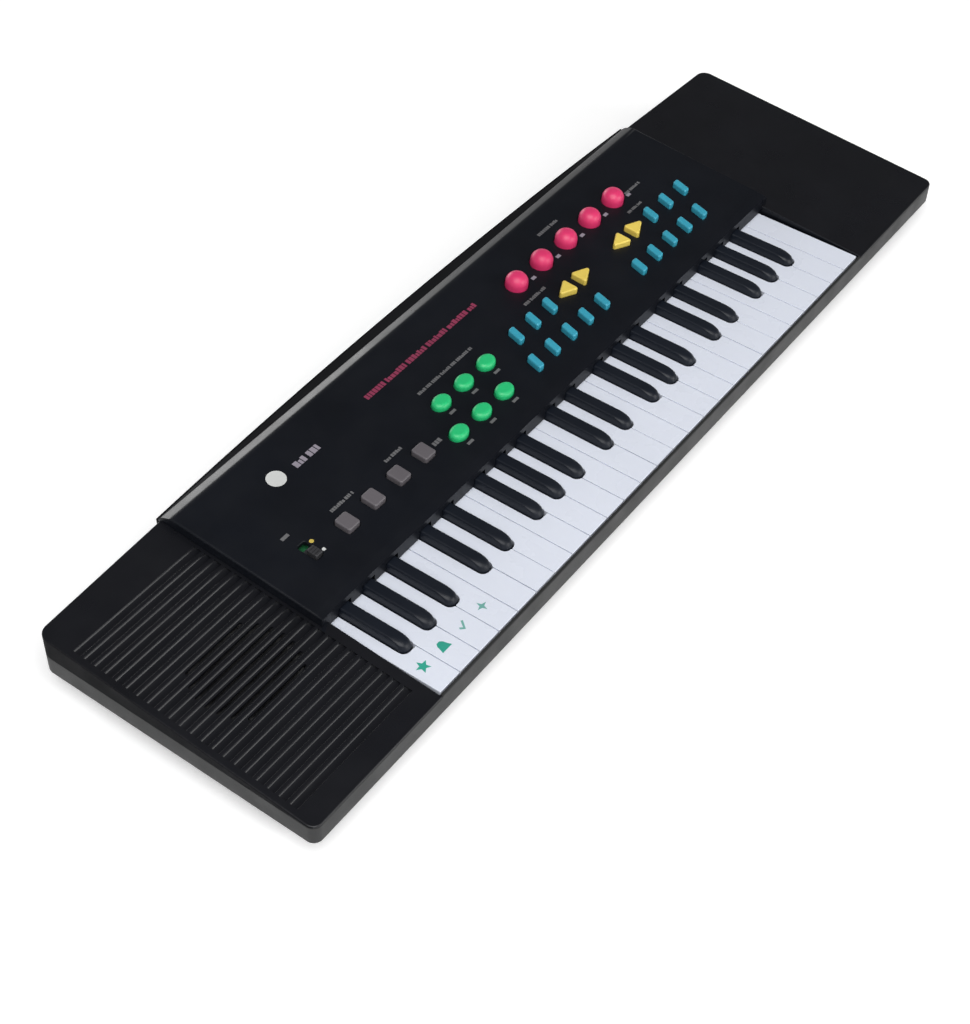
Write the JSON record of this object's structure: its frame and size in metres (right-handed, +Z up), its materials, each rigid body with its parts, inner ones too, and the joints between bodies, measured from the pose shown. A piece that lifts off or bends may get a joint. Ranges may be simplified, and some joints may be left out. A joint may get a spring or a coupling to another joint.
{
  "type": "toy electronic keyboard",
  "caption": "Slim black toy music keyboard with short piano keys, a ribbed speaker wing and a raised panel of coloured buttons.",
  "frame": {"origin": "centre of the footprint, on the table the feet stand on", "axes": "+X from the low notes to the high notes, +Y from the player to the back, +Z up"},
  "size_m": [0.532, 0.16, 0.0445],
  "materials": {
    "case_black": "fine satin texture",
    "base_black": "matt",
    "door_black": "matt",
    "key_white": "smooth, slightly glossy",
    "key_black": "smooth satin",
    "speaker_paper": "matt cone in a coated steel basket",
    "rail_grey": "matt",
    "board_green": "satin solder mask",
    "contact_rubber": "matt",
    "button_red": "soft satin",
    "button_green": "soft satin",
    "button_blue": "soft satin",
    "button_yellow": "soft satin",
    "button_grey": "soft satin",
    "switch_dark": "satin"
  },
  "bodies": {
    "case": {"upper_case": "case_black", "lower_case": "base_black", "speaker": "speaker_paper", "key_rail": "rail_grey", "panel_circuit_board": "board_green", "key_contact_board": "board_green", "key_contact_rubber": "contact_rubber"},
    "battery_door": {"battery_door": "door_black"},
    "white_key_01": {"white_key_01": "key_white"},
    "white_key_02": {"white_key_02": "key_white"},
    "white_key_03": {"white_key_03": "key_white"},
    "white_key_04": {"white_key_04": "key_white"},
    "white_key_05": {"white_key_05": "key_white"},
    "white_key_06": {"white_key_06": "key_white"},
    "white_key_07": {"white_key_07": "key_white"},
    "white_key_08": {"white_key_08": "key_white"},
    "white_key_09": {"white_key_09": "key_white"},
    "white_key_10": {"white_key_10": "key_white"},
    "white_key_11": {"white_key_11": "key_white"},
    "white_key_12": {"white_key_12": "key_white"},
    "white_key_13": {"white_key_13": "key_white"},
    "white_key_14": {"white_key_14": "key_white"},
    "white_key_15": {"white_key_15": "key_white"},
    "white_key_16": {"white_key_16": "key_white"},
    "white_key_17": {"white_key_17": "key_white"},
    "white_key_18": {"white_key_18": "key_white"},
    "white_key_19": {"white_key_19": "key_white"},
    "white_key_20": {"white_key_20": "key_white"},
    "white_key_21": {"white_key_21": "key_white"},
    "white_key_22": {"white_key_22": "key_white"},
    "white_key_23": {"white_key_23": "key_white"},
    "white_key_24": {"white_key_24": "key_white"},
    "white_key_25": {"white_key_25": "key_white"},
    "white_key_26": {"white_key_26": "key_white"},
    "black_key_01": {"black_key_01": "key_black"},
    "black_key_02": {"black_key_02": "key_black"},
    "black_key_03": {"black_key_03": "key_black"},
    "black_key_04": {"black_key_04": "key_black"},
    "black_key_05": {"black_key_05": "key_black"},
    "black_key_06": {"black_key_06": "key_black"},
    "black_key_07": {"black_key_07": "key_black"},
    "black_key_08": {"black_key_08": "key_black"},
    "black_key_09": {"black_key_09": "key_black"},
    "black_key_10": {"black_key_10": "key_black"},
    "black_key_11": {"black_key_11": "key_black"},
    "black_key_12": {"black_key_12": "key_black"},
    "black_key_13": {"black_key_13": "key_black"},
    "black_key_14": {"black_key_14": "key_black"},
    "black_key_15": {"black_key_15": "key_black"},
    "black_key_16": {"black_key_16": "key_black"},
    "black_key_17": {"black_key_17": "key_black"},
    "black_key_18": {"black_key_18": "key_black"},
    "red_buttons": {"red_buttons": "button_red"},
    "green_buttons": {"green_buttons": "button_green"},
    "blue_buttons_left": {"blue_buttons_left": "button_blue"},
    "blue_buttons_right": {"blue_buttons_right": "button_blue"},
    "yellow_arrows_left": {"yellow_arrows_left": "button_yellow"},
    "yellow_arrows_right": {"yellow_arrows_right": "button_yellow"},
    "grey_buttons": {"grey_buttons": "button_grey"},
    "power_switch": {"power_switch": "switch_dark"}
  },
  "joints": [
    {"name": "white_key_01_hinge", "type": "hinge", "parent": "case", "child": "white_key_01", "pos_m": [-0.175, 0.02, 0.0185], "axis": [1, 0, 0], "range_deg": [0, 2.4], "stiffness_Nm_per_rad": 0.35, "springref_deg": -8.59},
    {"name": "white_key_02_hinge", "type": "hinge", "parent": "case", "child": "white_key_02", "pos_m": [-0.161, 0.02, 0.0185], "axis": [1, 0, 0], "range_deg": [0, 2.4], "stiffness_Nm_per_rad": 0.35, "springref_deg": -8.59},
    {"name": "white_key_03_hinge", "type": "hinge", "parent": "case", "child": "white_key_03", "pos_m": [-0.147, 0.02, 0.0185], "axis": [1, 0, 0], "range_deg": [0, 2.4], "stiffness_Nm_per_rad": 0.35, "springref_deg": -8.59},
    {"name": "white_key_04_hinge", "type": "hinge", "parent": "case", "child": "white_key_04", "pos_m": [-0.133, 0.02, 0.0185], "axis": [1, 0, 0], "range_deg": [0, 2.4], "stiffness_Nm_per_rad": 0.35, "springref_deg": -8.59},
    {"name": "white_key_05_hinge", "type": "hinge", "parent": "case", "child": "white_key_05", "pos_m": [-0.119, 0.02, 0.0185], "axis": [1, 0, 0], "range_deg": [0, 2.4], "stiffness_Nm_per_rad": 0.35, "springref_deg": -8.59},
    {"name": "white_key_06_hinge", "type": "hinge", "parent": "case", "child": "white_key_06", "pos_m": [-0.105, 0.02, 0.0185], "axis": [1, 0, 0], "range_deg": [0, 2.4], "stiffness_Nm_per_rad": 0.35, "springref_deg": -8.59},
    {"name": "white_key_07_hinge", "type": "hinge", "parent": "case", "child": "white_key_07", "pos_m": [-0.091, 0.02, 0.0185], "axis": [1, 0, 0], "range_deg": [0, 2.4], "stiffness_Nm_per_rad": 0.35, "springref_deg": -8.59},
    {"name": "white_key_08_hinge", "type": "hinge", "parent": "case", "child": "white_key_08", "pos_m": [-0.077, 0.02, 0.0185], "axis": [1, 0, 0], "range_deg": [0, 2.4], "stiffness_Nm_per_rad": 0.35, "springref_deg": -8.59},
    {"name": "white_key_09_hinge", "type": "hinge", "parent": "case", "child": "white_key_09", "pos_m": [-0.063, 0.02, 0.0185], "axis": [1, 0, 0], "range_deg": [0, 2.4], "stiffness_Nm_per_rad": 0.35, "springref_deg": -8.59},
    {"name": "white_key_10_hinge", "type": "hinge", "parent": "case", "child": "white_key_10", "pos_m": [-0.049, 0.02, 0.0185], "axis": [1, 0, 0], "range_deg": [0, 2.4], "stiffness_Nm_per_rad": 0.35, "springref_deg": -8.59},
    {"name": "white_key_11_hinge", "type": "hinge", "parent": "case", "child": "white_key_11", "pos_m": [-0.035, 0.02, 0.0185], "axis": [1, 0, 0], "range_deg": [0, 2.4], "stiffness_Nm_per_rad": 0.35, "springref_deg": -8.59},
    {"name": "white_key_12_hinge", "type": "hinge", "parent": "case", "child": "white_key_12", "pos_m": [-0.021, 0.02, 0.0185], "axis": [1, 0, 0], "range_deg": [0, 2.4], "stiffness_Nm_per_rad": 0.35, "springref_deg": -8.59},
    {"name": "white_key_13_hinge", "type": "hinge", "parent": "case", "child": "white_key_13", "pos_m": [-0.007, 0.02, 0.0185], "axis": [1, 0, 0], "range_deg": [0, 2.4], "stiffness_Nm_per_rad": 0.35, "springref_deg": -8.59},
    {"name": "white_key_14_hinge", "type": "hinge", "parent": "case", "child": "white_key_14", "pos_m": [0.007, 0.02, 0.0185], "axis": [1, 0, 0], "range_deg": [0, 2.4], "stiffness_Nm_per_rad": 0.35, "springref_deg": -8.59},
    {"name": "white_key_15_hinge", "type": "hinge", "parent": "case", "child": "white_key_15", "pos_m": [0.021, 0.02, 0.0185], "axis": [1, 0, 0], "range_deg": [0, 2.4], "stiffness_Nm_per_rad": 0.35, "springref_deg": -8.59},
    {"name": "white_key_16_hinge", "type": "hinge", "parent": "case", "child": "white_key_16", "pos_m": [0.035, 0.02, 0.0185], "axis": [1, 0, 0], "range_deg": [0, 2.4], "stiffness_Nm_per_rad": 0.35, "springref_deg": -8.59},
    {"name": "white_key_17_hinge", "type": "hinge", "parent": "case", "child": "white_key_17", "pos_m": [0.049, 0.02, 0.0185], "axis": [1, 0, 0], "range_deg": [0, 2.4], "stiffness_Nm_per_rad": 0.35, "springref_deg": -8.59},
    {"name": "white_key_18_hinge", "type": "hinge", "parent": "case", "child": "white_key_18", "pos_m": [0.063, 0.02, 0.0185], "axis": [1, 0, 0], "range_deg": [0, 2.4], "stiffness_Nm_per_rad": 0.35, "springref_deg": -8.59},
    {"name": "white_key_19_hinge", "type": "hinge", "parent": "case", "child": "white_key_19", "pos_m": [0.077, 0.02, 0.0185], "axis": [1, 0, 0], "range_deg": [0, 2.4], "stiffness_Nm_per_rad": 0.35, "springref_deg": -8.59},
    {"name": "white_key_20_hinge", "type": "hinge", "parent": "case", "child": "white_key_20", "pos_m": [0.091, 0.02, 0.0185], "axis": [1, 0, 0], "range_deg": [0, 2.4], "stiffness_Nm_per_rad": 0.35, "springref_deg": -8.59},
    {"name": "white_key_21_hinge", "type": "hinge", "parent": "case", "child": "white_key_21", "pos_m": [0.105, 0.02, 0.0185], "axis": [1, 0, 0], "range_deg": [0, 2.4], "stiffness_Nm_per_rad": 0.35, "springref_deg": -8.59},
    {"name": "white_key_22_hinge", "type": "hinge", "parent": "case", "child": "white_key_22", "pos_m": [0.119, 0.02, 0.0185], "axis": [1, 0, 0], "range_deg": [0, 2.4], "stiffness_Nm_per_rad": 0.35, "springref_deg": -8.59},
    {"name": "white_key_23_hinge", "type": "hinge", "parent": "case", "child": "white_key_23", "pos_m": [0.133, 0.02, 0.0185], "axis": [1, 0, 0], "range_deg": [0, 2.4], "stiffness_Nm_per_rad": 0.35, "springref_deg": -8.59},
    {"name": "white_key_24_hinge", "type": "hinge", "parent": "case", "child": "white_key_24", "pos_m": [0.147, 0.02, 0.0185], "axis": [1, 0, 0], "range_deg": [0, 2.4], "stiffness_Nm_per_rad": 0.35, "springref_deg": -8.59},
    {"name": "white_key_25_hinge", "type": "hinge", "parent": "case", "child": "white_key_25", "pos_m": [0.161, 0.02, 0.0185], "axis": [1, 0, 0], "range_deg": [0, 2.4], "stiffness_Nm_per_rad": 0.35, "springref_deg": -8.59},
    {"name": "white_key_26_hinge", "type": "hinge", "parent": "case", "child": "white_key_26", "pos_m": [0.175, 0.02, 0.0185], "axis": [1, 0, 0], "range_deg": [0, 2.4], "stiffness_Nm_per_rad": 0.35, "springref_deg": -8.59},
    {"name": "black_key_01_hinge", "type": "hinge", "parent": "case", "child": "black_key_01", "pos_m": [-0.1715, 0.02, 0.0185], "axis": [1, 0, 0], "range_deg": [0, 2.4], "stiffness_Nm_per_rad": 0.35, "springref_deg": -8.59},
    {"name": "black_key_02_hinge", "type": "hinge", "parent": "case", "child": "black_key_02", "pos_m": [-0.15512, 0.02, 0.0185], "axis": [1, 0, 0], "range_deg": [0, 2.4], "stiffness_Nm_per_rad": 0.35, "springref_deg": -8.59},
    {"name": "black_key_03_hinge", "type": "hinge", "parent": "case", "child": "black_key_03", "pos_m": [-0.13874, 0.02, 0.0185], "axis": [1, 0, 0], "range_deg": [0, 2.4], "stiffness_Nm_per_rad": 0.35, "springref_deg": -8.59},
    {"name": "black_key_04_hinge", "type": "hinge", "parent": "case", "child": "black_key_04", "pos_m": [-0.11452, 0.02, 0.0185], "axis": [1, 0, 0], "range_deg": [0, 2.4], "stiffness_Nm_per_rad": 0.35, "springref_deg": -8.59},
    {"name": "black_key_05_hinge", "type": "hinge", "parent": "case", "child": "black_key_05", "pos_m": [-0.09772, 0.02, 0.0185], "axis": [1, 0, 0], "range_deg": [0, 2.4], "stiffness_Nm_per_rad": 0.35, "springref_deg": -8.59},
    {"name": "black_key_06_hinge", "type": "hinge", "parent": "case", "child": "black_key_06", "pos_m": [-0.0735, 0.02, 0.0185], "axis": [1, 0, 0], "range_deg": [0, 2.4], "stiffness_Nm_per_rad": 0.35, "springref_deg": -8.59},
    {"name": "black_key_07_hinge", "type": "hinge", "parent": "case", "child": "black_key_07", "pos_m": [-0.05712, 0.02, 0.0185], "axis": [1, 0, 0], "range_deg": [0, 2.4], "stiffness_Nm_per_rad": 0.35, "springref_deg": -8.59},
    {"name": "black_key_08_hinge", "type": "hinge", "parent": "case", "child": "black_key_08", "pos_m": [-0.04074, 0.02, 0.0185], "axis": [1, 0, 0], "range_deg": [0, 2.4], "stiffness_Nm_per_rad": 0.35, "springref_deg": -8.59},
    {"name": "black_key_09_hinge", "type": "hinge", "parent": "case", "child": "black_key_09", "pos_m": [-0.01652, 0.02, 0.0185], "axis": [1, 0, 0], "range_deg": [0, 2.4], "stiffness_Nm_per_rad": 0.35, "springref_deg": -8.59},
    {"name": "black_key_10_hinge", "type": "hinge", "parent": "case", "child": "black_key_10", "pos_m": [0.00028, 0.02, 0.0185], "axis": [1, 0, 0], "range_deg": [0, 2.4], "stiffness_Nm_per_rad": 0.35, "springref_deg": -8.59},
    {"name": "black_key_11_hinge", "type": "hinge", "parent": "case", "child": "black_key_11", "pos_m": [0.0245, 0.02, 0.0185], "axis": [1, 0, 0], "range_deg": [0, 2.4], "stiffness_Nm_per_rad": 0.35, "springref_deg": -8.59},
    {"name": "black_key_12_hinge", "type": "hinge", "parent": "case", "child": "black_key_12", "pos_m": [0.04088, 0.02, 0.0185], "axis": [1, 0, 0], "range_deg": [0, 2.4], "stiffness_Nm_per_rad": 0.35, "springref_deg": -8.59},
    {"name": "black_key_13_hinge", "type": "hinge", "parent": "case", "child": "black_key_13", "pos_m": [0.05726, 0.02, 0.0185], "axis": [1, 0, 0], "range_deg": [0, 2.4], "stiffness_Nm_per_rad": 0.35, "springref_deg": -8.59},
    {"name": "black_key_14_hinge", "type": "hinge", "parent": "case", "child": "black_key_14", "pos_m": [0.08148, 0.02, 0.0185], "axis": [1, 0, 0], "range_deg": [0, 2.4], "stiffness_Nm_per_rad": 0.35, "springref_deg": -8.59},
    {"name": "black_key_15_hinge", "type": "hinge", "parent": "case", "child": "black_key_15", "pos_m": [0.09828, 0.02, 0.0185], "axis": [1, 0, 0], "range_deg": [0, 2.4], "stiffness_Nm_per_rad": 0.35, "springref_deg": -8.59},
    {"name": "black_key_16_hinge", "type": "hinge", "parent": "case", "child": "black_key_16", "pos_m": [0.1225, 0.02, 0.0185], "axis": [1, 0, 0], "range_deg": [0, 2.4], "stiffness_Nm_per_rad": 0.35, "springref_deg": -8.59},
    {"name": "black_key_17_hinge", "type": "hinge", "parent": "case", "child": "black_key_17", "pos_m": [0.13888, 0.02, 0.0185], "axis": [1, 0, 0], "range_deg": [0, 2.4], "stiffness_Nm_per_rad": 0.35, "springref_deg": -8.59},
    {"name": "black_key_18_hinge", "type": "hinge", "parent": "case", "child": "black_key_18", "pos_m": [0.15526, 0.02, 0.0185], "axis": [1, 0, 0], "range_deg": [0, 2.4], "stiffness_Nm_per_rad": 0.35, "springref_deg": -8.59},
    {"name": "red_buttons_press", "type": "slide", "parent": "case", "child": "red_buttons", "axis": [0, 0.0723, -0.9974], "range_m": [0, 0.0012], "stiffness_N_per_m": 300, "springref_m": -0.003},
    {"name": "green_buttons_press", "type": "slide", "parent": "case", "child": "green_buttons", "axis": [0, 0.0723, -0.9974], "range_m": [0, 0.0012], "stiffness_N_per_m": 300, "springref_m": -0.003},
    {"name": "blue_buttons_left_press", "type": "slide", "parent": "case", "child": "blue_buttons_left", "axis": [0, 0.0723, -0.9974], "range_m": [0, 0.0012], "stiffness_N_per_m": 300, "springref_m": -0.003},
    {"name": "blue_buttons_right_press", "type": "slide", "parent": "case", "child": "blue_buttons_right", "axis": [0, 0.0723, -0.9974], "range_m": [0, 0.0012], "stiffness_N_per_m": 300, "springref_m": -0.003},
    {"name": "yellow_arrows_left_press", "type": "slide", "parent": "case", "child": "yellow_arrows_left", "axis": [0, 0.0723, -0.9974], "range_m": [0, 0.0012], "stiffness_N_per_m": 300, "springref_m": -0.003},
    {"name": "yellow_arrows_right_press", "type": "slide", "parent": "case", "child": "yellow_arrows_right", "axis": [0, 0.0723, -0.9974], "range_m": [0, 0.0012], "stiffness_N_per_m": 300, "springref_m": -0.003},
    {"name": "grey_buttons_press", "type": "slide", "parent": "case", "child": "grey_buttons", "axis": [0, 0.0723, -0.9974], "range_m": [0, 0.0012], "stiffness_N_per_m": 300, "springref_m": -0.003},
    {"name": "power_switch_slide", "type": "slide", "parent": "case", "child": "power_switch", "axis": [0, 0.9974, 0.0723], "range_m": [0, 0.005]},
    {"name": "battery_door_hinge", "type": "hinge", "parent": "case", "child": "battery_door", "pos_m": [0.218, -0.0397, 0.0015], "axis": [-1, 0, 0], "range_deg": [0, 75]}
  ]
}
